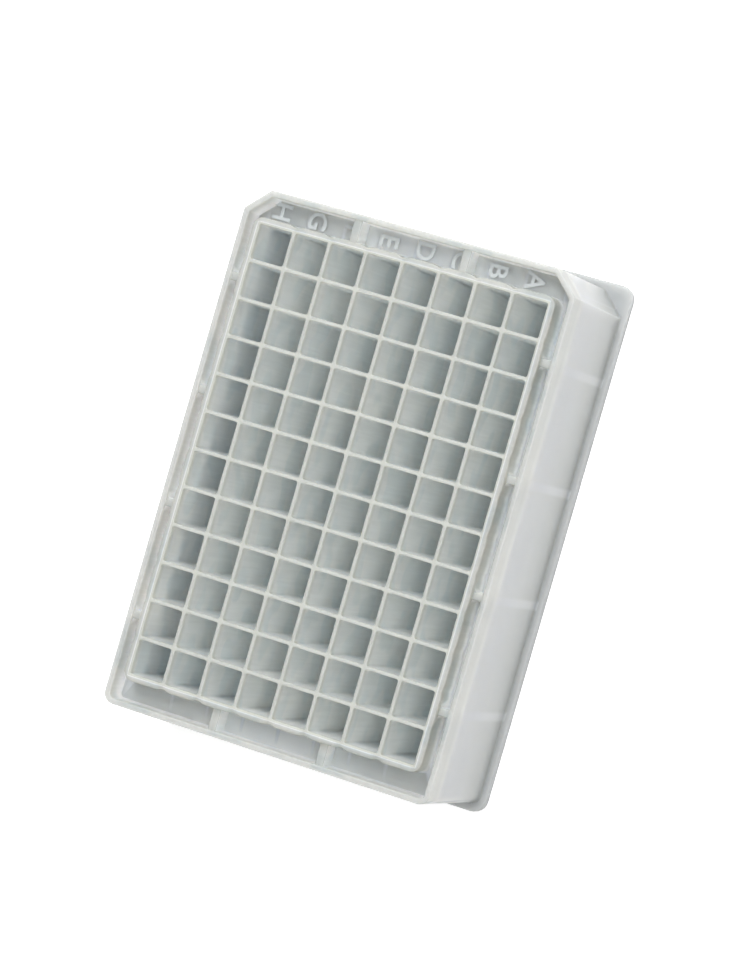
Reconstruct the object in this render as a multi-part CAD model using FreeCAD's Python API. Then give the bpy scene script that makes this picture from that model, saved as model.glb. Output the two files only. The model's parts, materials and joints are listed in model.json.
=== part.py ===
import FreeCAD, Part
import math
import os

# 96-well square deep-well plate, one injection moulding in natural polypropylene.
# Frame: +X runs along the rows from column 1 to column 12, +Y points to row A, +Z up.
# The origin is the centre of the footprint, on the surface that the plate stands on. Sizes in mm.

# Well grid
column_count = 12
row_count = 8
pitch = 9.0

# One well: square, drafted, with a pyramid bottom that ends in a small flat
well_width = 8.2
well_draft = 0.3
well_corner = 0.4
pyramid_height = 4.0
tip_flat = 1.2
tip_wall = 1.0
tip_clearance = 2.8
valley_flat = 0.6

# Wall around the outside of the wells, the radius of each well's own outer corner,
# and how far from the joint between two wells that corner starts to leave a notch
outer_wall = 1.65
tube_corner = 2.4
notch_reach = 1.55

# Heights of the plate
plate_height = 44.0
rim_drop = 1.3
deck_depth = 8.0
deck_thickness = 1.2

# Skirt: the outer wall from the rim to the foot
end_pocket = 5.23
side_strip = 2.4
skirt_wall = 1.4
skirt_draft = 0.15
skirt_corner = 2.6
chamfer = 5.5

# Foot: the flange that a plate holder grips, hollow below so that plates stack
end_ledge = 2.0
side_ledge = 1.69
foot_height = 2.41
foot_wall = 1.4
foot_recess = 1.2
foot_corner = 3.18

# Ribs that tie the skirt to the wells: at every third column from column 2 along the sides,
# and at every third row from row C across the ends
rib_thickness = 2.0
rib_drop = 2.0
rib_bury = 0.5
first_side_rib = 2
first_end_rib = 3
rib_every = 3

# How far the well cutters run out past the wells' tops, and the least radius of an inner corner
cutter_excess = 1.0
least_radius = 0.3

# Worked out from the values above
web = pitch - well_width
overhang = outer_wall - web / 2
block_length = column_count * pitch + 2 * overhang
block_width = row_count * pitch + 2 * overhang
inner_length = block_length + 2 * end_pocket
inner_width = block_width + 2 * side_strip
skirt_length = inner_length + 2 * skirt_wall
skirt_width = inner_width + 2 * skirt_wall
plate_length = skirt_length + 2 * end_ledge
plate_width = skirt_width + 2 * side_ledge
rim_top = plate_height - rim_drop
deck_top = plate_height - deck_depth
floor_width = well_width - 2 * well_draft
tip_inside = tip_clearance + tip_wall


def column_x(column):
    """Centre of a column, counted from 1 at the chamfered end."""
    return (column - (column_count + 1) / 2) * pitch


def row_y(row):
    """Centre of a row, counted from 1 at row A."""
    return ((row_count + 1) / 2 - row) * pitch


def vectors(points, z):
    return [FreeCAD.Vector(x, y, z) for x, y in points]


def flat_face(corners):
    return Part.Face(Part.makePolygon(corners + [corners[0]]))


def tower(rings):
    """A solid with flat faces through rings of corners, listed from the bottom up.
    Every ring has the same count of corners, in the same turning sense."""
    faces = [flat_face(rings[0][::-1]), flat_face(rings[-1])]
    for low, high in zip(rings, rings[1:]):
        for k in range(len(low)):
            faces.append(flat_face([low[k - 1], low[k], high[k], high[k - 1]]))
    shell = Part.Shell(faces)
    shell.sewShape()
    return Part.Solid(shell)


def square(width, corner):
    """Corners of a square about the origin, each cut flat by corner, or sharp where corner is 0."""
    half = width / 2
    if corner <= 0:
        return [(half, half), (-half, half), (-half, -half), (half, -half)]
    flat = half - corner
    return [
        (half, flat), (flat, half), (-flat, half), (-half, flat),
        (-half, -flat), (-flat, -half), (flat, -half), (half, -flat),
    ]


def upright_edges(body):
    """The edges of a body that run from its bottom to its top."""
    return [e for e in body.Edges if e.BoundBox.ZLength > 0.99 * body.BoundBox.ZLength]


def skirt_ring(inset, z):
    """The skirt's outline at height z, moved inwards by inset and by its draft,
    with both corners beside column 1 cut at 45 degrees."""
    step = inset + skirt_draft * (z - foot_height) / (rim_top - foot_height)
    x, y = skirt_length / 2 - step, skirt_width / 2 - step
    cut = chamfer - step * (2 - math.sqrt(2))
    return vectors([(x, y), (-x + cut, y), (-x, y - cut), (-x, -y + cut), (-x + cut, -y), (x, -y)], z)


def skirt_body(inset, low, high):
    """The skirt as a solid from height low to height high, round at both corners beside the last column."""
    body = tower([skirt_ring(inset, low), skirt_ring(inset, high)])
    far = [e for e in upright_edges(body) if e.CenterOfMass.x > 0]
    return body.makeFillet(max(skirt_corner - inset, least_radius), far)


def foot_body(inset, low, high):
    """A round-cornered rectangle, the footprint moved inwards by inset, from height low to height high."""
    length, width = plate_length - 2 * inset, plate_width - 2 * inset
    body = Part.makeBox(length, width, high - low, FreeCAD.Vector(-length / 2, -width / 2, low))
    return body.makeFillet(max(foot_corner - inset, least_radius), upright_edges(body))


def skirt_and_foot():
    """Flange, wall and rim in one shell, with the deck across it and hollow below."""
    outside = skirt_body(0, 0, rim_top).fuse(foot_body(0, 0, foot_height))
    below = skirt_body(skirt_wall, 0, deck_top - deck_thickness)
    above = skirt_body(skirt_wall, deck_top, rim_top)
    recess = foot_body(foot_wall, 0, foot_recess)
    return outside.cut([below, above, recess])


def outline_side(count, face, end_face):
    """One side of the wells' outline as (kind, points), left to right, with the side at height face
    above the middle: flat over each well, with a notch where two round-cornered wells meet."""
    reach = min(notch_reach, 0.9 * tube_corner)
    drop = tube_corner - math.sqrt(tube_corner**2 - reach**2)
    half_turn = math.asin(reach / tube_corner) / 2
    along = tube_corner * math.sin(half_turn)
    down = tube_corner * (1 - math.cos(half_turn))
    start = tube_corner - end_face
    pieces = []
    for k in range(1, count if reach > 0 else 1):
        joint = (k - count / 2) * pitch
        near, far, notch = (joint - reach, face), (joint + reach, face), (joint, face - drop)
        pieces.append(("line", [(start, face), near]))
        pieces.append(("arc", [near, (near[0] + along, face - down), notch]))
        pieces.append(("arc", [notch, (far[0] - along, face - down), far]))
        start = far[0]
    pieces.append(("line", [(start, face), (end_face - tube_corner, face)]))
    return pieces


def outline_corner(face, end_face):
    """The round corner that follows a side of the wells' outline."""
    bulge = tube_corner * (1 - math.sqrt(0.5))
    start, end = (end_face - tube_corner, face), (end_face, face - tube_corner)
    return ("arc", [start, (end_face - bulge, face - bulge), end])


def block_wire(z):
    """Outline of all the wells at height z: four scalloped sides joined by round corners."""
    half_x, half_y = block_length / 2, block_width / 2
    edges = []
    for quarter in range(4):
        if quarter % 2 == 0:
            count, face, end_face = column_count, half_y, half_x
        else:
            count, face, end_face = row_count, half_x, half_y
        for kind, points in outline_side(count, face, end_face) + [outline_corner(face, end_face)]:
            spots = vectors(points, z)
            edge = Part.makeLine(*spots) if kind == "line" else Part.Arc(*spots).toShape()
            edge.rotate(FreeCAD.Vector(0, 0, 0), FreeCAD.Vector(0, 0, 1), -90 * quarter)
            edges.append(edge)
    return Part.Wire(edges)


def at_each_well(shape):
    """A compound with one copy of shape at the centre of every well."""
    copies = []
    for column in range(1, column_count + 1):
        for row in range(1, row_count + 1):
            copy = shape.copy()
            copy.translate(FreeCAD.Vector(column_x(column), row_y(row), 0))
            copies.append(copy)
    return Part.makeCompound(copies)


def well_space():
    """The space inside one well, out past its mouth: a drafted square shaft over a pyramid."""
    floor_corner = well_corner * floor_width / well_width
    tip_corner = well_corner * tip_flat / well_width
    return tower([
        vectors(square(tip_flat, tip_corner), tip_inside),
        vectors(square(floor_width, floor_corner), tip_inside + pyramid_height),
        vectors(square(well_width, well_corner), plate_height),
        vectors(square(well_width, well_corner), plate_height + cutter_excess),
    ])


def tip_outline():
    """Lower and upper width and upper height of a well's outer pyramid, which runs
    parallel to the inner one at a distance of tip_wall."""
    run = (floor_width - tip_flat) / 2
    slope = math.hypot(run, pyramid_height)
    low_half = tip_flat / 2 + tip_wall * (slope - run) / pyramid_height
    high_half = (pitch - valley_flat) / 2
    valley = tip_clearance + (high_half - low_half) * pyramid_height / run
    return 2 * low_half, 2 * high_half, valley


def well_block():
    """All wells in one block: shared walls, scalloped outline and a pyramid under each well."""
    low_width, high_width, valley = tip_outline()
    block = Part.Face(block_wire(valley)).extrude(FreeCAD.Vector(0, 0, plate_height - valley))
    tip = tower([vectors(square(low_width, 0), tip_clearance), vectors(square(high_width, 0), valley)])
    return block.fuse(at_each_well(tip)).cut(at_each_well(well_space()))


def rib(length, width, x, y):
    """One upright rib about x, y, through the deck, from the foot's ledge to just under the rim."""
    low, high = foot_height, plate_height - rib_drop
    return Part.makeBox(length, width, high - low, FreeCAD.Vector(x - length / 2, y - width / 2, low))


def ribs():
    """Ribs across the long strips and the end pockets, each sunk a little into what it joins."""
    end_reach = end_pocket + 2 * rib_bury
    side_reach = side_strip + 2 * rib_bury
    end_middle = block_length / 2 + end_pocket / 2
    side_middle = block_width / 2 + side_strip / 2
    made = []
    for side in (-1, 1):
        for column in range(first_side_rib, column_count + 1, rib_every):
            made.append(rib(rib_thickness, side_reach, column_x(column), side * side_middle))
        for row in range(first_end_rib, row_count + 1, rib_every):
            made.append(rib(end_reach, rib_thickness, side * end_middle, row_y(row)))
    return made


def well_plate():
    """The whole moulding, with the deck opened where the wells pass through it."""
    passage = Part.Face(block_wire(0)).extrude(FreeCAD.Vector(0, 0, plate_height))
    shell = skirt_and_foot().cut(passage)
    return shell.fuse([*ribs(), well_block()]).removeSplitter()


os.makedirs("parts", exist_ok=True)
plate = well_plate()
plate.exportStep("parts/well_plate.step")
box = plate.BoundBox
print("solids", len(plate.Solids), "faces", len(plate.Faces), "valid", plate.isValid())
print("volume", round(plate.Volume), "box", round(box.XLength, 3), round(box.YLength, 3), round(box.ZLength, 3))
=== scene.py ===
import json
import math

import bmesh
import bpy
import numpy as np
from mathutils import Matrix, Vector

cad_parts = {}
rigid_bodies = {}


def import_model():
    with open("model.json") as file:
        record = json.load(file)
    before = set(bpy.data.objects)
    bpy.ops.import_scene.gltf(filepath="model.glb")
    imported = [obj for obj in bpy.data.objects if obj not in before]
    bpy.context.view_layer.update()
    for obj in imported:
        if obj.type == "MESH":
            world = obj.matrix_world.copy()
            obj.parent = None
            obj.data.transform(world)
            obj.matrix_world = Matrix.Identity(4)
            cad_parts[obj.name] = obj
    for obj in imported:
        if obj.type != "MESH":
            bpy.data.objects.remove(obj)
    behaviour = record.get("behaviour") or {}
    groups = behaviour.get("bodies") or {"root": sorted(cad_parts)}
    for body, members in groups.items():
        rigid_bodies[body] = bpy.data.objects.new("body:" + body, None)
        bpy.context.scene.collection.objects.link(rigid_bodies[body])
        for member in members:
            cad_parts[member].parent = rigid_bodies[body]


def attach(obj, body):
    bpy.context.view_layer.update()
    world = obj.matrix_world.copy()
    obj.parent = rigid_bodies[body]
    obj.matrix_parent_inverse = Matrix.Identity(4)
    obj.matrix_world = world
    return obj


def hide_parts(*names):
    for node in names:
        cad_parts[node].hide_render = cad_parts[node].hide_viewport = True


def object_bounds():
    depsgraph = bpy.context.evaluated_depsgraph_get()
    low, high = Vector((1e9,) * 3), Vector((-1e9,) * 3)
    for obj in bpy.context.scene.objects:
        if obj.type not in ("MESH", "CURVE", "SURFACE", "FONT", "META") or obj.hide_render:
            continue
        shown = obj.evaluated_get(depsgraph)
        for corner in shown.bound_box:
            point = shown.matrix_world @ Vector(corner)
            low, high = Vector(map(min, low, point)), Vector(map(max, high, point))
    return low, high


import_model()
cadLow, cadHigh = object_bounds()
mm = 0.001

# The plate's sizes in millimetres, the same as the moulding's, with the radii that finish its edges.
plate = {
    "columns": 12,
    "rows": 8,
    "pitch": 9.0,
    "wellWidth": 8.2,
    "floorWidth": 7.6,
    "wellRadius": 0.5,
    "pyramidTop": 7.8,
    "pyramidFoot": 3.8,
    "tipFlat": 1.2,
    "tipWidth": 2.16,
    "tipFoot": 2.8,
    "valley": 6.7,
    "valleyFlat": 0.6,
    "overhang": 1.25,
    "tubeRadius": 2.4,
    "notchReach": 1.75,
    "endNotch": 0.5,
    "sideNotch": 0.2,
    "rimDrop": 1.3,
    "deckDrop": 8.0,
    "deckThickness": 1.2,
    "endPocket": 5.23,
    "sideStrip": 2.4,
    "skirtWall": 1.4,
    "skirtDraft": 0.15,
    "skirtRadius": 2.6,
    "chamfer": 5.5,
    "footHeight": 2.41,
    "footWall": 1.4,
    "footRecess": 1.2,
    "footRadius": 3.18,
    "fadeUp": 2.5,
    "fadeDown": 3.0,
    "lipRadius": 0.15,
    "edgeRadius": 0.35,
    "filletRadius": 0.5,
    "wellBend": 0.3,
    "wellTipMiddle": (0.1, 0.25),
    "shoulderMiddle": (-0.15, 1 / 15),
    "tipBend": 0.35,
    "tipMiddle": (0.2, 0.35),
    "tipRadius": 0.5,
    "footEdge": 0.25,
    "leastRadius": 0.3,
    "arcSteps": 4,
    "cornerSteps": 6,
    "mergeWithin": 0.002,
    "shortestEdge": 0.0001,
}
top = cadHigh.z / mm
rimTop = top - plate["rimDrop"]
deckTop = top - plate["deckDrop"]
deckLow = deckTop - plate["deckThickness"]
halfGrid = np.array([plate["columns"], plate["rows"]]) * plate["pitch"] / 2
halfBlock = halfGrid + plate["overhang"]
halfInner = halfBlock + np.array([plate["endPocket"], plate["sideStrip"]])
halfSkirt = halfInner + plate["skirtWall"]
halfFoot = np.array([cadHigh.x, cadHigh.y]) / mm
reach = plate["notchReach"]


# Quads between neighbouring rings of a grid that closes on itself, for count grids in a row.
def ringFaces(rings, around, count=1):
    i, j = np.meshgrid(np.arange(rings - 1), np.arange(around), indexing="ij")
    i, j = i.ravel(), j.ravel()
    k = (j + 1) % around
    quads = np.stack([i * around + j, (i + 1) * around + j, (i + 1) * around + k, i * around + k], 1)
    starts = np.arange(count)[:, None, None] * rings * around
    return (quads[None] + starts).reshape(-1, 4)


# One mesh from (points, faces) blocks in millimetres, with seams and poles merged.
def meshFrom(name, blocks):
    points, faces, start = [], [], 0
    for blockPoints, blockFaces in blocks:
        points.append(blockPoints)
        faces.append(blockFaces + start)
        start += len(blockPoints)
    mesh = bpy.data.meshes.new(name)
    mesh.from_pydata((np.vstack(points) * mm).tolist(), [], np.vstack(faces).tolist())
    shape = bmesh.new()
    shape.from_mesh(mesh)
    bmesh.ops.remove_doubles(shape, verts=shape.verts, dist=plate["mergeWithin"] * mm)
    bmesh.ops.dissolve_degenerate(shape, edges=shape.edges, dist=plate["shortestEdge"] * mm)
    shape.to_mesh(mesh)
    shape.free()
    return mesh


# Corner sign and direction of each point around one cell, anticlockwise from +X.
# A quarter of the points belong to each corner, at equal angles from one side to the next.
def cellPath():
    steps = plate["cornerSteps"]
    quarter = np.repeat(np.arange(4), steps + 1)
    angle = (quarter + np.tile(np.arange(steps + 1) / steps, 4)) * math.pi / 2
    middle = (quarter + 0.5) * math.pi / 2
    sign = np.sign(np.stack([np.cos(middle), np.sin(middle)], 1))
    circle = np.stack([np.cos(angle), np.sin(angle)], 1)
    square = circle / np.abs(circle).max(1, keepdims=True)
    return sign, circle, square


# Rings of a rounded square: at each station (half width, corner radius, height, squareness)
# a point is the corner's centre plus its radius times the direction, round or square.
def cellRings(stations):
    sign, circle, square = cellPath()
    half, radius, z, squareness = (np.array(v, float)[:, None] for v in zip(*stations))
    flat = []
    for a in (0, 1):
        direction = (1 - squareness) * circle[:, a] + squareness * square[:, a]
        flat.append(sign[:, a] * (half - radius) + radius * direction)
    return np.stack([*flat, np.broadcast_to(z, flat[0].shape)], -1)


# One copy of a cell's rings at every well.
def allCells(rings):
    x = (np.arange(plate["columns"]) - (plate["columns"] - 1) / 2) * plate["pitch"]
    y = (np.arange(plate["rows"]) - (plate["rows"] - 1) / 2) * plate["pitch"]
    cx, cy = (c.ravel() for c in np.meshgrid(x, y))
    centres = np.stack([cx, cy, np.zeros_like(cx)], 1)
    points = rings[None] + centres[:, None, None, :]
    return points.reshape(-1, 3), ringFaces(rings.shape[0], rings.shape[1], len(centres))


# Points (offset, height) along an arc, by its centre, radius and angles in degrees.
def arc(offset, z, radius, start, end):
    angle = np.radians(np.linspace(start, end, plate["arcSteps"] + 1))
    return list(zip(offset + radius * np.cos(angle), z + radius * np.sin(angle)))


# The middle point of a soft bend at a corner (offset, height), moved by shares of the bend's reach.
def bendMiddle(offset, z, bend, shares):
    return offset + bend * shares[0], z + bend * shares[1]


# The inside of every well, from the middle of its tip, up its walls and over its lip to the cell's edge.
def wellCells():
    mouth, floor, lip = plate["wellWidth"] / 2, plate["floorWidth"] / 2, plate["lipRadius"]
    tip, foot, shoulder = plate["tipFlat"] / 2, plate["pyramidFoot"], plate["pyramidTop"]
    slope = (shoulder - foot) / (floor - tip)
    bend = plate["wellBend"]
    outline = [(0.0, foot), (tip - bend, foot), bendMiddle(tip, foot, bend, plate["wellTipMiddle"])]
    outline += [(tip + bend, foot + bend * slope), (floor - bend, shoulder - bend * slope)]
    outline += [bendMiddle(floor, shoulder, bend, plate["shoulderMiddle"]), (floor, shoulder + bend)]
    outline += arc(mouth + lip, top - lip, lip, 180, 90)
    stations = [(h, plate["wellRadius"] * min(h / mouth, 1) + max(h - mouth, 0), z, 0) for h, z in outline]
    stations.append((plate["pitch"] / 2, reach, top, 1))
    return allCells(cellRings(stations))


# The underside of every well, from the cell's edge over the valley and down the pyramid to its tip.
def tipCells():
    high, low = (plate["pitch"] - plate["valleyFlat"]) / 2, plate["tipWidth"] / 2
    valley, foot = plate["valley"], plate["tipFoot"]
    slope = (valley - foot) / (high - low)
    bend = plate["tipBend"]
    outline = [(high, valley), (high - bend, valley - bend * slope), (low + bend, foot + bend * slope)]
    outline += [bendMiddle(low, foot, bend, plate["tipMiddle"]), (low - bend, foot), (0.0, foot)]
    stations = [(plate["pitch"] / 2, reach, valley, 1)]
    stations += [(h, plate["tipRadius"] * min(h / high, 1), z, 0) for h, z in outline]
    return allCells(cellRings(stations))


# The plate's perimeter, anticlockwise from the corner beside row H and the last column, as one entry
# per point: side, place along the side, distance to the next joint, corner it belongs to and its angle.
def walkRound():
    steps = plate["cornerSteps"]
    tangent = np.tan(np.arange(steps // 2 + 1) / steps * math.pi / 2)
    spread = plate["pitch"] / 2 - reach + reach * tangent
    along = np.concatenate([-spread[::-1], spread[:-1]])
    near = np.concatenate([reach * (1 - tangent)[::-1], reach * (1 - tangent)[:-1]])
    side, place, joint, corner, turn = [], [], [], [], []
    for k in range(4):
        count = plate["rows"] if k % 2 == 0 else plate["columns"]
        centres = (np.arange(count) - (count - 1) / 2) * plate["pitch"]
        cornerOf = np.full((count, len(along)), -1)
        angleOf = np.zeros((count, len(along)))
        half = steps // 2
        cornerOf[0, : half + 1] = (k - 1) % 4
        angleOf[0, : half + 1] = 45 + np.arange(half + 1) * 90 / steps
        cornerOf[-1, half + 1 :] = k
        angleOf[-1, half + 1 :] = np.arange(len(along) - half - 1) * 90 / steps
        side.append(np.full(count * len(along), k))
        place.append((centres[:, None] + along).ravel())
        joint.append(np.tile(near, count))
        corner.append(cornerOf.ravel())
        turn.append(np.radians(angleOf.ravel()))
    return [np.concatenate(v) for v in (side, place, joint, corner, turn)]


side, place, joint, corner, turn = walkRound()
isCorner = corner >= 0
# Each side's outward direction, and the direction of the walk along it.
normals = np.array([(1, 0), (0, 1), (-1, 0), (0, -1)], float)
tangents = np.array([(0, 1), (-1, 0), (0, -1), (1, 0)], float)


# One ring round the plate: points on a side stand off the middle by its half size less the notch,
# and a corner's points lie on its arc, or on a straight cut at both corners beside column 1.
def outlineRing(half, radius, z, cut=None, notch=0.0):
    halfOf = np.array([half[0], half[1], half[0], half[1]])
    straight = normals[side] * (halfOf[side] - notch)[:, None] + tangents[side] * place[:, None]
    n, t = normals[corner], tangents[corner]
    hn, ht = halfOf[corner], halfOf[(corner + 1) % 4]
    cos, sin = np.cos(turn), np.sin(turn)
    bent = n * (hn - radius + radius * cos)[:, None] + t * (ht - radius + radius * sin)[:, None]
    if cut is not None:
        share = turn / (math.pi / 2)
        chopped = n * (hn - cut * share)[:, None] + t * (ht - cut * (1 - share))[:, None]
        bent = np.where(((corner == 1) | (corner == 2))[:, None], chopped, bent)
    flat = np.where(isCorner[:, None], bent, straight)
    return np.column_stack([flat, np.full(len(flat), z)])


# The outer edge of the cells, where the wells' own grids end.
def gridRing(z):
    straight = normals[side] * halfGrid[side % 2][:, None] + tangents[side] * place[:, None]
    return np.column_stack([straight, np.full(len(straight), z)])


# The wells' outline: at each joint a notch shaped as one wave of a cosine, shallower along the sides.
def blockRing(offset, z):
    full = np.where(side % 2 == 0, plate["endNotch"], plate["sideNotch"])
    drop = full * (0.5 + 0.5 * np.cos(np.pi * np.clip(joint / reach, 0, 1)))
    notch = np.where(isCorner, 0, drop)
    return outlineRing(halfBlock + offset, plate["tubeRadius"] + offset, z, notch=notch)


# The outer wall, which leans inwards evenly from the foot to the rim.
def skirtRing(offset, z):
    lean = plate["skirtDraft"] * (z - plate["footHeight"]) / (rimTop - plate["footHeight"])
    step = offset - lean
    cut = plate["chamfer"] + step * (2 - math.sqrt(2))
    radius = max(plate["skirtRadius"] + offset, plate["leastRadius"])
    return outlineRing(halfSkirt + step, radius, z, cut=cut)


# The foot's outline, a rectangle with round corners.
def footRing(offset, z):
    return outlineRing(halfFoot + offset, plate["footRadius"] + offset, z)


# The plate's outside, from the wells' tops over the deck, the rim, the skirt and the foot
# and back up underneath to the valley between the wells' tips.
def shellRings():
    r, f, wall = plate["edgeRadius"], plate["filletRadius"], plate["skirtWall"]
    foot, recess, footWall = plate["footHeight"], plate["footRecess"], plate["footWall"]
    small = plate["footEdge"]
    sections = [
        (blockRing, arc(-r, top - r, r, 90, 0)),
        (blockRing, arc(f, deckTop + f, f, 180, 270)),
        (skirtRing, arc(-wall - f, deckTop + f, f, 270, 360)),
        (skirtRing, arc(-wall + r, rimTop - r, r, 180, 90)),
        (skirtRing, arc(-r, rimTop - r, r, 90, 0)),
        (skirtRing, [(0, deckTop + plate["fadeUp"]), (0, deckTop - plate["fadeDown"])]),
        (skirtRing, arc(f, foot + f, f, 180, 270)),
        (footRing, arc(-r, foot - r, r, 90, 0)),
        (footRing, arc(-small, small, small, 0, -90)),
        (footRing, arc(-footWall + small, small, small, 270, 180)),
        (footRing, [(-footWall, recess)]),
        (skirtRing, arc(-wall + small, recess + small, small, 270, 180)),
        (skirtRing, arc(-wall - f, deckLow - f, f, 0, 90)),
        (blockRing, arc(f, deckLow - f, f, 90, 180)),
        (blockRing, arc(-r, plate["valley"] + r, r, 0, -90)),
    ]
    rings = [gridRing(top)]
    rings += [ring(offset, z) for ring, outline in sections for offset, z in outline]
    rings.append(gridRing(plate["valley"]))
    points = np.array(rings)
    return points.reshape(-1, 3), ringFaces(points.shape[0], points.shape[1])


ribs = {
    "thickness": 2.0,
    "drop": 2.0,
    "bury": 0.5,
    "firstColumn": 2,
    "firstRow": 3,
    "every": 3,
    "round": 0.35,
}


# Upright ribs: one rounded section (across, height) is carried in a line from the skirt to the wells,
# so a point is (where the rib ends, rib's centre + across, height), with the first two swapped at the ends.
def ribMesh():
    half, high, low = ribs["thickness"] / 2, top - ribs["drop"], plate["footHeight"]
    r = ribs["round"]
    section = [(half, low)]
    section += arc(half - r, high - r, r, 0, 90)
    section += arc(r - half, high - r, r, 90, 180)
    section = np.array(section + [(-half, low)])
    blocks = []
    for along, first, count in ((1, "firstColumn", "columns"), (0, "firstRow", "rows")):
        number = np.arange(ribs[first], plate[count] + 1, ribs["every"])
        centre = (number - (plate[count] + 1) / 2) * plate["pitch"]
        for sign in (1, -1):
            ends = sign * np.array([halfInner[along] + ribs["bury"], halfBlock[along] - ribs["bury"]])
            points = np.empty((len(centre), 2, len(section), 3))
            points[..., along] = ends[:, None]
            points[..., 1 - along] = centre[:, None, None] + section[:, 0]
            points[..., 2] = section[:, 1]
            blocks.append(points)
    points = np.concatenate(blocks)
    walls = ringFaces(2, len(section), len(points))
    caps = np.arange(points.size // 3).reshape(-1, len(section))
    mesh = bpy.data.meshes.new("ribs")
    mesh.from_pydata((points.reshape(-1, 3) * mm).tolist(), [], walls.tolist() + caps.tolist())
    shape = bmesh.new()
    shape.from_mesh(mesh)
    bmesh.ops.recalc_face_normals(shape, faces=shape.faces)
    shape.to_mesh(mesh)
    shape.free()
    return mesh


# A new object in the scene, at the origin.
def addObject(name, data):
    made = bpy.data.objects.new(name, data)
    bpy.context.scene.collection.objects.link(made)
    return made


# The object's mesh with its modifiers applied.
def frozenMesh(made, name):
    bpy.context.view_layer.update()
    graph = bpy.context.evaluated_depsgraph_get()
    mesh = bpy.data.meshes.new_from_object(made.evaluated_get(graph), depsgraph=graph)
    mesh.name = name
    return mesh


shading = {"sharpAngle": 32, "normalWeight": 80}

plateBody = addObject("plateBody", meshFrom("plateBody", [wellCells(), tipCells(), shellRings()]))
ribBody = addObject("ribBody", ribMesh())
join = plateBody.modifiers.new("join", "BOOLEAN")
join.operation = "UNION"
join.solver = "MANIFOLD"
join.object = ribBody
joined = frozenMesh(plateBody, "plateJoined")
plateBody.modifiers.clear()
plateBody.data = joined
bpy.data.objects.remove(ribBody)
joined.shade_smooth()
joined.set_sharp_from_angle(angle=math.radians(shading["sharpAngle"]))
weigh = plateBody.modifiers.new("weigh", "WEIGHTED_NORMAL")
weigh.keep_sharp = True
weigh.weight = shading["normalWeight"]
print("plate body:", len(joined.vertices), "points", len(joined.polygons), "faces")

letters = {
    "size": 6.2,
    "bolder": 0.12,
    "raise": 0.3,
    "sink": 0.02,
    "shift": -2.7,
    "curveSteps": 4,
    "mergeWithin": 0.001,
}


# Row letters A to H, raised on the floor of the pocket beside column 1.
def rowLetters():
    middle = -(halfBlock[0] + plate["endPocket"] / 2)
    blocks = []
    for number in range(plate["rows"]):
        curve = bpy.data.curves.new("letter", "FONT")
        curve.body = chr(ord("A") + number)
        curve.align_x, curve.align_y = "CENTER", "CENTER"
        curve.size = letters["size"] * mm
        curve.extrude = (letters["raise"] + letters["sink"]) / 2 * mm
        curve.resolution_u = letters["curveSteps"]
        curve.offset = letters["bolder"] * mm
        made = addObject("letter", curve)
        mesh = frozenMesh(made, "letter")
        bpy.data.objects.remove(made)
        y = ((plate["rows"] - 1) / 2 - number) * plate["pitch"] + letters["shift"]
        height = deckTop + (letters["raise"] - letters["sink"]) / 2
        mesh.transform(Matrix.Translation(Vector((middle, y, height)) * mm))
        blocks.append(mesh)
    shape = bmesh.new()
    for mesh in blocks:
        shape.from_mesh(mesh)
    bmesh.ops.remove_doubles(shape, verts=shape.verts, dist=letters["mergeWithin"] * mm)
    bmesh.ops.recalc_face_normals(shape, faces=shape.faces)
    whole = bpy.data.meshes.new("rowLetters")
    shape.to_mesh(whole)
    shape.free()
    return whole


letterBody = addObject("rowLetters", rowLetters())
print("row letters:", len(letterBody.data.polygons), "faces")

plastic = {
    # Painted shade darkens the web tops. Painted light makes the wells' walls lighter from the throat down
    # to the deep, and makes the side strips' floors as light as the deep.
    "web": (0.600, 0.610, 0.548),
    "throat": (0.920, 0.930, 0.910),
    "deep": (0.997, 0.999, 0.990),
    # Painted shade on the rim and on the skirt above the deck, and darker still on the top of the wells'
    # outer wall.
    "edgeShade": (0.570, 0.582, 0.558),
    "crown": (0.487, 0.490, 0.456),
    # Painted shade on the skirt below the deck and on the pocket floors, darker towards the foot and
    # towards the long sides.
    "hollow": (0.938, 0.938, 0.865),
    "low": (0.615, 0.628, 0.592),
    "foot": (0.510, 0.525, 0.520),
    # Painted light: lighter bands on the skirt where ribs stand behind it.
    "band": (0.980, 0.985, 0.975),
    "webDepth": 0.08,
    "deepFrom": (0.20, 0.65),
    "lowFrom": (0.13, 0.85),
    "footFrom": (0.90, 1.0),
    "skirtShare": 0.9,
    "deckShare": 0.3,
    "radius": (1.0, 0.92, 0.82),
    "depth": 8.0,
    "roughness": 0.36,
    "ior": 1.49,
    "deckFade": 4.0,
    "bandSoftness": 0.5,
    "bandTint": 0.4,
    "cloud": (0.850, 0.895, 0.920),
    "cloudSize": 7.0,
    "cloudDetail": 0.5,
    "cloudFrom": (0.47, 0.64),
    "drawSize": 0.9,
    "drawDetail": 4.0,
    "drawStretch": 0.05,
    "drawFrom": (0.62, 0.42),
    "drawTint": 0.05,
    "drawHeight": 0.010,
}

# How far from a surface its zone starts or ends, in millimetres.
zoneReach = {
    "grid": 0.1,
    "block": 0.02,
    "wall": 0.6,
    "cut": 1.0,
    "edge": 1.0,
    "floor": 0.1,
    "deckLevel": 0.5,
}
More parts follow.
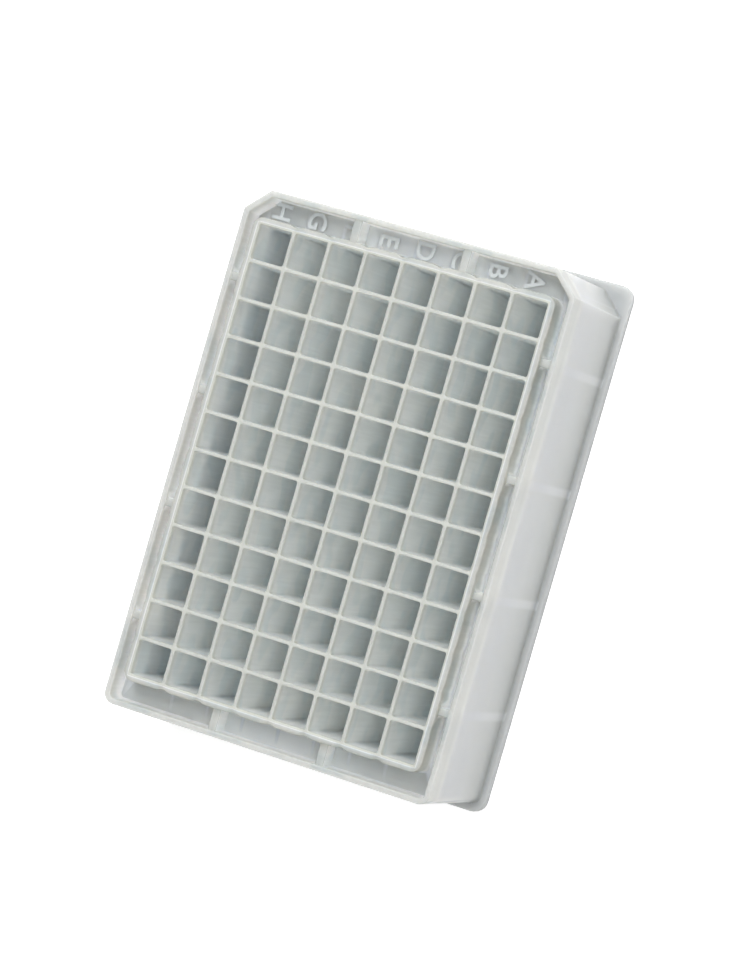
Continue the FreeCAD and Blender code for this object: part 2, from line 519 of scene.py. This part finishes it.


# Point colour zones, which place the painted light and shade in the plastic's colour. Green marks the edges
# that
# get painted shade: 1 on the top of the wells' outer wall, a half on the rim and on the skirt above the
# deck. Blue marks the thin walls over a cavity, which get painted shade: the skirt below the deck and the
# floors of the end pockets.
# Red is the share of the way down a well or the skirt, with 1 on the foot, or the way out from the middle
# of a pocket's floor, and 1 on the side strips' floors and the walls that face them. Painted light grows
# with red in the wells and the strips, and painted shade grows with it down the skirt and across a pocket.
def markZones(mesh):
    at = np.empty(len(mesh.vertices) * 3)
    mesh.vertices.foreach_get("co", at)
    x, y, z = np.abs(at.reshape(-1, 3).T) / mm
    grid = halfGrid + zoneReach["grid"]
    block = halfBlock + zoneReach["block"]
    wall = halfInner + zoneReach["wall"]
    inBlock = (x < grid[0]) & (y < grid[1])
    onBlock = (x < block[0]) & (y < block[1]) & ~inBlock
    cutOff = (at[::3] < 0) & (x + y > halfSkirt.sum() - plate["chamfer"] - zoneReach["cut"])
    outer = (x > wall[0]) | (y > wall[1]) | cutOff
    deck = ~inBlock & ~onBlock & ~outer & (z < deckTop + zoneReach["floor"])
    strip = deck & (x < halfBlock[0])
    pocket = deck & ~strip
    facing = ~inBlock & ~outer & ~deck
    depth = np.clip((top - plate["lipRadius"] - z) / (top - plate["pyramidTop"]), 0, 1)
    # How far down the skirt, or out across a pocket floor towards the long sides: this sets how dark the
    # painted shade and painted shadow are there.
    down = np.clip((deckTop - z) / (deckTop - plate["footHeight"]), 0, 1) * plastic["skirtShare"]
    down[z < plate["footHeight"] + zoneReach["floor"]] = 1
    aside = np.clip((y - plastic["deckFade"]) / (halfInner[1] - plastic["deckFade"]), 0, 1)
    aside = plastic["deckShare"] + (1 - plastic["deckShare"]) * aside
    aboveDeck = z > deckTop + zoneReach["deckLevel"]
    nearRim = z > rimTop - zoneReach["edge"]
    zones = np.zeros((len(x), 4))
    zones[:, 0] = inBlock * depth + outer * down + pocket * aside + (strip | facing)
    zones[:, 1] = 0.5 * (~inBlock & (nearRim | (outer & aboveDeck)))
    zones[onBlock & (z > top - zoneReach["edge"]), 1] = 1
    zones[:, 2] = (outer & ~aboveDeck) | pocket
    zones[:, 3] = 1
    layer = mesh.attributes.new("zones", "FLOAT_COLOR", "POINT")
    layer.data.foreach_set("color", zones.astype(np.float32).ravel())


# A new material, its node tree and its shader.
def newMaterial(name):
    material = bpy.data.materials.new(name)
    material.use_nodes = True
    return material, material.node_tree, material.node_tree.nodes["Principled BSDF"]


# One shader node: its settings, then its inputs by number or name, as a value or as what feeds them.
def addNode(tree, kind, inputs=(), **settings):
    node = tree.nodes.new("ShaderNode" + kind)
    for key, value in settings.items():
        setattr(node, key, value)
    for key, value in dict(inputs).items():
        if isinstance(value, bpy.types.NodeSocket):
            tree.links.new(value, node.inputs[key])
        else:
            node.inputs[key].default_value = value
    return node


# One sum of numbers: operation is the node's own word for it.
def maths(tree, operation, *values):
    return addNode(tree, "Math", enumerate(values), operation=operation).outputs[0]


# The first colour turned into the second by share, or the two put together in another mode.
def blend(tree, share, first, second, mode="MIX"):
    node = addNode(tree, "Mix", {0: share}, data_type="RGBA", blend_type=mode)
    for socket, colour in ((node.inputs[6], first), (node.inputs[7], second)):
        if isinstance(colour, bpy.types.NodeSocket):
            tree.links.new(colour, socket)
        else:
            socket.default_value = (*colour, 1)
    return node.outputs[2]


# 0 at low and 1 at high, with a smooth step between them. Low may be the larger of the two.
def rise(tree, value, low, high):
    node = addNode(tree, "MapRange", {0: value, 1: low, 2: high}, interpolation_type="SMOOTHSTEP")
    return node.outputs[0]


# The place on the piece, in millimetres.
def placeInMillimetres(tree):
    coordinates = addNode(tree, "TexCoord").outputs["Object"]
    scaled = addNode(tree, "VectorMath", {0: coordinates, "Scale": 1 / mm}, operation="SCALE")
    return scaled.outputs[0]


# Smooth noise with features about size millimetres across, from a place in millimetres.
def noise(tree, place, size, detail):
    inputs = {"Vector": place, "Scale": 1 / size, "Detail": detail}
    return addNode(tree, "TexNoise", inputs).outputs[0]


# 1 along the lines where a rib stands behind the skirt, on its sides and its ends, else 0. This is where
# painted light makes the skirt lighter in bands.
def ribBands(tree, split):
    period = ribs["every"] * plate["pitch"]
    nearRib = []
    for along in (split[0], split[1]):
        turn = maths(tree, "FLOORED_MODULO", along, period)
        nearRib.append(maths(tree, "ABSOLUTE", maths(tree, "SUBTRACT", turn, period / 2)))
    onSide = maths(tree, "GREATER_THAN", maths(tree, "ABSOLUTE", split[1]), halfInner[1])
    offSide = maths(tree, "SUBTRACT", 1.0, onSide)
    across = maths(tree, "MULTIPLY", nearRib[0], onSide)
    away = maths(tree, "ADD", across, maths(tree, "MULTIPLY", nearRib[1], offSide))
    half, soft = ribs["thickness"] / 2, plastic["bandSoftness"]
    edge = rise(tree, away, half + soft, half - soft)
    low = maths(tree, "GREATER_THAN", split[2], plate["footHeight"])
    high = maths(tree, "LESS_THAN", split[2], top - ribs["drop"])
    return maths(tree, "MULTIPLY", edge, maths(tree, "MULTIPLY", low, high))


# Natural polypropylene: light scatters deep inside it, a cloudy melt shifts the tint a little, and the
# mould's draw leaves faint upright marks. Its colour also carries painted shade on the web tops, on the
# edges and on the thin walls over a cavity, darker towards the foot and the pockets' long sides. It carries
# painted light in the wells, lighter deeper down, and in bands on the skirt where ribs stand behind it.
def polypropylene():
    material, tree, shader = newMaterial("naturalPolypropylene")
    place = placeInMillimetres(tree)
    split = addNode(tree, "SeparateXYZ", {0: place}).outputs
    zones = addNode(tree, "Attribute", attribute_name="zones").outputs["Color"]
    depth, edgeShade, hollow = addNode(tree, "SeparateColor", {0: zones}).outputs
    # Painted shade on the web tops, and painted light down the wells' walls, lighter the deeper they go.
    below = rise(tree, depth, 0.0, plastic["webDepth"])
    colour = blend(tree, below, plastic["web"], plastic["throat"])
    colour = blend(tree, rise(tree, depth, *plastic["deepFrom"]), colour, plastic["deep"])
    # Painted shade on the edges: the rim and the skirt above the deck, darkest on the top of the wells'
    # outer wall.
    colour = blend(tree, rise(tree, edgeShade, 0.0, 0.5), colour, plastic["edgeShade"])
    colour = blend(tree, rise(tree, edgeShade, 0.5, 1.0), colour, plastic["crown"])
    # Painted shade on the skirt and the pocket floors, darker down towards the foot, with a painted shadow
    # that grows darker out towards the long sides.
    skin = blend(tree, rise(tree, depth, *plastic["lowFrom"]), plastic["hollow"], plastic["low"])
    skin = blend(tree, rise(tree, depth, *plastic["footFrom"]), skin, plastic["foot"])
    # Painted light in bands on the skirt where ribs stand behind it.
    bands = maths(tree, "MULTIPLY", ribBands(tree, split), plastic["bandTint"])
    colour = blend(tree, hollow, colour, blend(tree, bands, skin, plastic["band"]))
    inWell = maths(tree, "MULTIPLY", below, maths(tree, "SUBTRACT", 1.0, hollow))
    cloud = noise(tree, place, plastic["cloudSize"], plastic["cloudDetail"])
    cloud = maths(tree, "MULTIPLY", rise(tree, cloud, *plastic["cloudFrom"]), inWell)
    colour = blend(tree, cloud, colour, blend(tree, 1.0, colour, plastic["cloud"], mode="MULTIPLY"))
    stretch = (1, 1, plastic["drawStretch"])
    upright = addNode(tree, "VectorMath", {0: place, 1: stretch}, operation="MULTIPLY").outputs[0]
    draw = noise(tree, upright, plastic["drawSize"], plastic["drawDetail"])
    line = maths(tree, "MULTIPLY", rise(tree, draw, *plastic["drawFrom"]), inWell)
    grey = 1 - plastic["drawTint"]
    colour = blend(tree, 1.0, colour, blend(tree, line, (1, 1, 1), (grey, grey, grey)), mode="MULTIPLY")
    bump = addNode(tree, "Bump", {"Height": draw, "Distance": plastic["drawHeight"] * mm, "Strength": 1.0})
    tree.links.new(colour, shader.inputs["Base Color"])
    tree.links.new(bump.outputs[0], shader.inputs["Normal"])
    shader.inputs["Roughness"].default_value = plastic["roughness"]
    shader.inputs["Subsurface Weight"].default_value = 1.0
    shader.inputs["Subsurface Radius"].default_value = plastic["radius"]
    shader.inputs["Subsurface Scale"].default_value = plastic["depth"] * mm
    shader.inputs["IOR"].default_value = plastic["ior"]
    return material


lettering = {
    "colour": (0.60, 0.63, 0.64, 1),
    "roughness": 0.5,
    "grainSize": 0.125,
    "grainDetail": 2.0,
    "grainHeight": 0.02,
}


# The letters' tops are spark-eroded in the mould, so they scatter light back like frosted plastic.
def raisedLetters():
    material, tree, shader = newMaterial("raisedLetters")
    place = placeInMillimetres(tree)
    grain = noise(tree, place, lettering["grainSize"], lettering["grainDetail"])
    height = lettering["grainHeight"] * mm
    bump = addNode(tree, "Bump", {"Height": grain, "Distance": height, "Strength": 1.0})
    tree.links.new(bump.outputs[0], shader.inputs["Normal"])
    shader.inputs["Base Color"].default_value = lettering["colour"]
    shader.inputs["Roughness"].default_value = lettering["roughness"]
    shader.inputs["IOR"].default_value = plastic["ior"]
    return material


markZones(plateBody.data)
for piece, material in ((plateBody, polypropylene()), (letterBody, raisedLetters())):
    piece.data.materials.clear()
    piece.data.materials.append(material)
    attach(piece, "root")
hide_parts("well_plate")
print("materials on", plateBody.name, "and", letterBody.name)

studio = {
    "floorReach": 3.0,
    "floorColour": (0.8, 0.8, 0.8, 1),
    "floorRoughness": 0.9,
    "floorGlow": 0.55,
    "worldColour": (1, 1, 1, 1),
    "worldStrength": 0.10,
    "lampTarget": (0.0, 0.0, 0.03),
    "lamps": {
        "keyLight": ((-0.65, 0.0, 1.1), 0.6, 10.4),
        "frontLight": ((0.0, 0.42, 1.18), 0.6, 7.1),
        "sideLight": ((0.0, 1.0, 0.33), 0.5, 0.6),
        "fillLight": ((0.85, -0.95, 0.28), 1.1, 8.0),
        "backLight": ((-1.1, -0.1, 0.2), 0.7, 2.8),
    },
}


# A matt pale floor. Its glow is seen straight on, in gloss and through clear things, and it
# lights nothing else.
def addFloor():
    mesh = bpy.data.meshes.new("floor")
    far = studio["floorReach"]
    corners = [(-far, -far, 0), (far, -far, 0), (far, far, 0), (-far, far, 0)]
    mesh.from_pydata(corners, [], [(0, 1, 2, 3)])
    floor = addObject("floor", mesh)
    material, tree, shader = newMaterial("paleFloor")
    shader.inputs["Base Color"].default_value = studio["floorColour"]
    shader.inputs["Roughness"].default_value = studio["floorRoughness"]
    path = addNode(tree, "LightPath").outputs
    seen = path["Is Camera Ray"]
    for mirrored in ("Is Glossy Ray", "Is Transmission Ray"):
        seen = maths(tree, "MAXIMUM", seen, path[mirrored])
    plain = shader.outputs[0]
    glow = addNode(tree, "Emission", {"Strength": studio["floorGlow"]}).outputs[0]
    lit = addNode(tree, "AddShader", {0: plain, 1: glow}).outputs[0]
    surface = addNode(tree, "MixShader", {0: seen, 1: plain, 2: lit}).outputs[0]
    tree.links.new(surface, tree.nodes["Material Output"].inputs[0])
    mesh.materials.append(material)


# A square soft lamp that faces the plate.
def addLamp(name, location, size, energy):
    lamp = bpy.data.lights.new(name, "AREA")
    lamp.size = size
    lamp.energy = energy
    made = addObject(name, lamp)
    made.location = location
    towards = Vector(studio["lampTarget"]) - Vector(location)
    made.rotation_euler = towards.to_track_quat("-Z", "Y").to_euler()


addFloor()
for lampName, lampValues in studio["lamps"].items():
    addLamp(lampName, *lampValues)
world = bpy.data.worlds.new("studio")
world.use_nodes = True
background = world.node_tree.nodes["Background"].inputs
background["Color"].default_value = studio["worldColour"]
background["Strength"].default_value = studio["worldStrength"]
bpy.context.scene.world = world
print("studio:", len(studio["lamps"]), "lamps and a floor")

view = {
    "location": (-0.0216, 0.2550, 0.7911),
    "target": (-0.0046, 0.0071, 0.0440),
    "upwards": (-0.9601, -0.2711, 0.0681),
    "lens": 131.25,
    "nearest": 0.01,
}


# The camera looks from its location at the target, turned so that the upwards direction points up.
def addCamera():
    back = (Vector(view["location"]) - Vector(view["target"])).normalized()
    right = Vector(view["upwards"]).cross(back).normalized()
    upright = back.cross(right)
    camera = addObject("camera", bpy.data.cameras.new("camera"))
    camera.data.lens = view["lens"]
    camera.data.clip_start = view["nearest"]
    turn = Matrix((right, upright, back)).transposed().to_4x4()
    camera.matrix_world = Matrix.Translation(view["location"]) @ turn
    bpy.context.scene.camera = camera


addCamera()
print("camera:", view["lens"], "mm lens")

# Light reaches the bottom of a deep well only after many bounces from wall to wall.
bounces = {"all": 32, "diffuse": 24}
bpy.context.scene.cycles.max_bounces = bounces["all"]
bpy.context.scene.cycles.diffuse_bounces = bounces["diffuse"]
bpy.context.scene.view_settings.view_transform = "Standard"
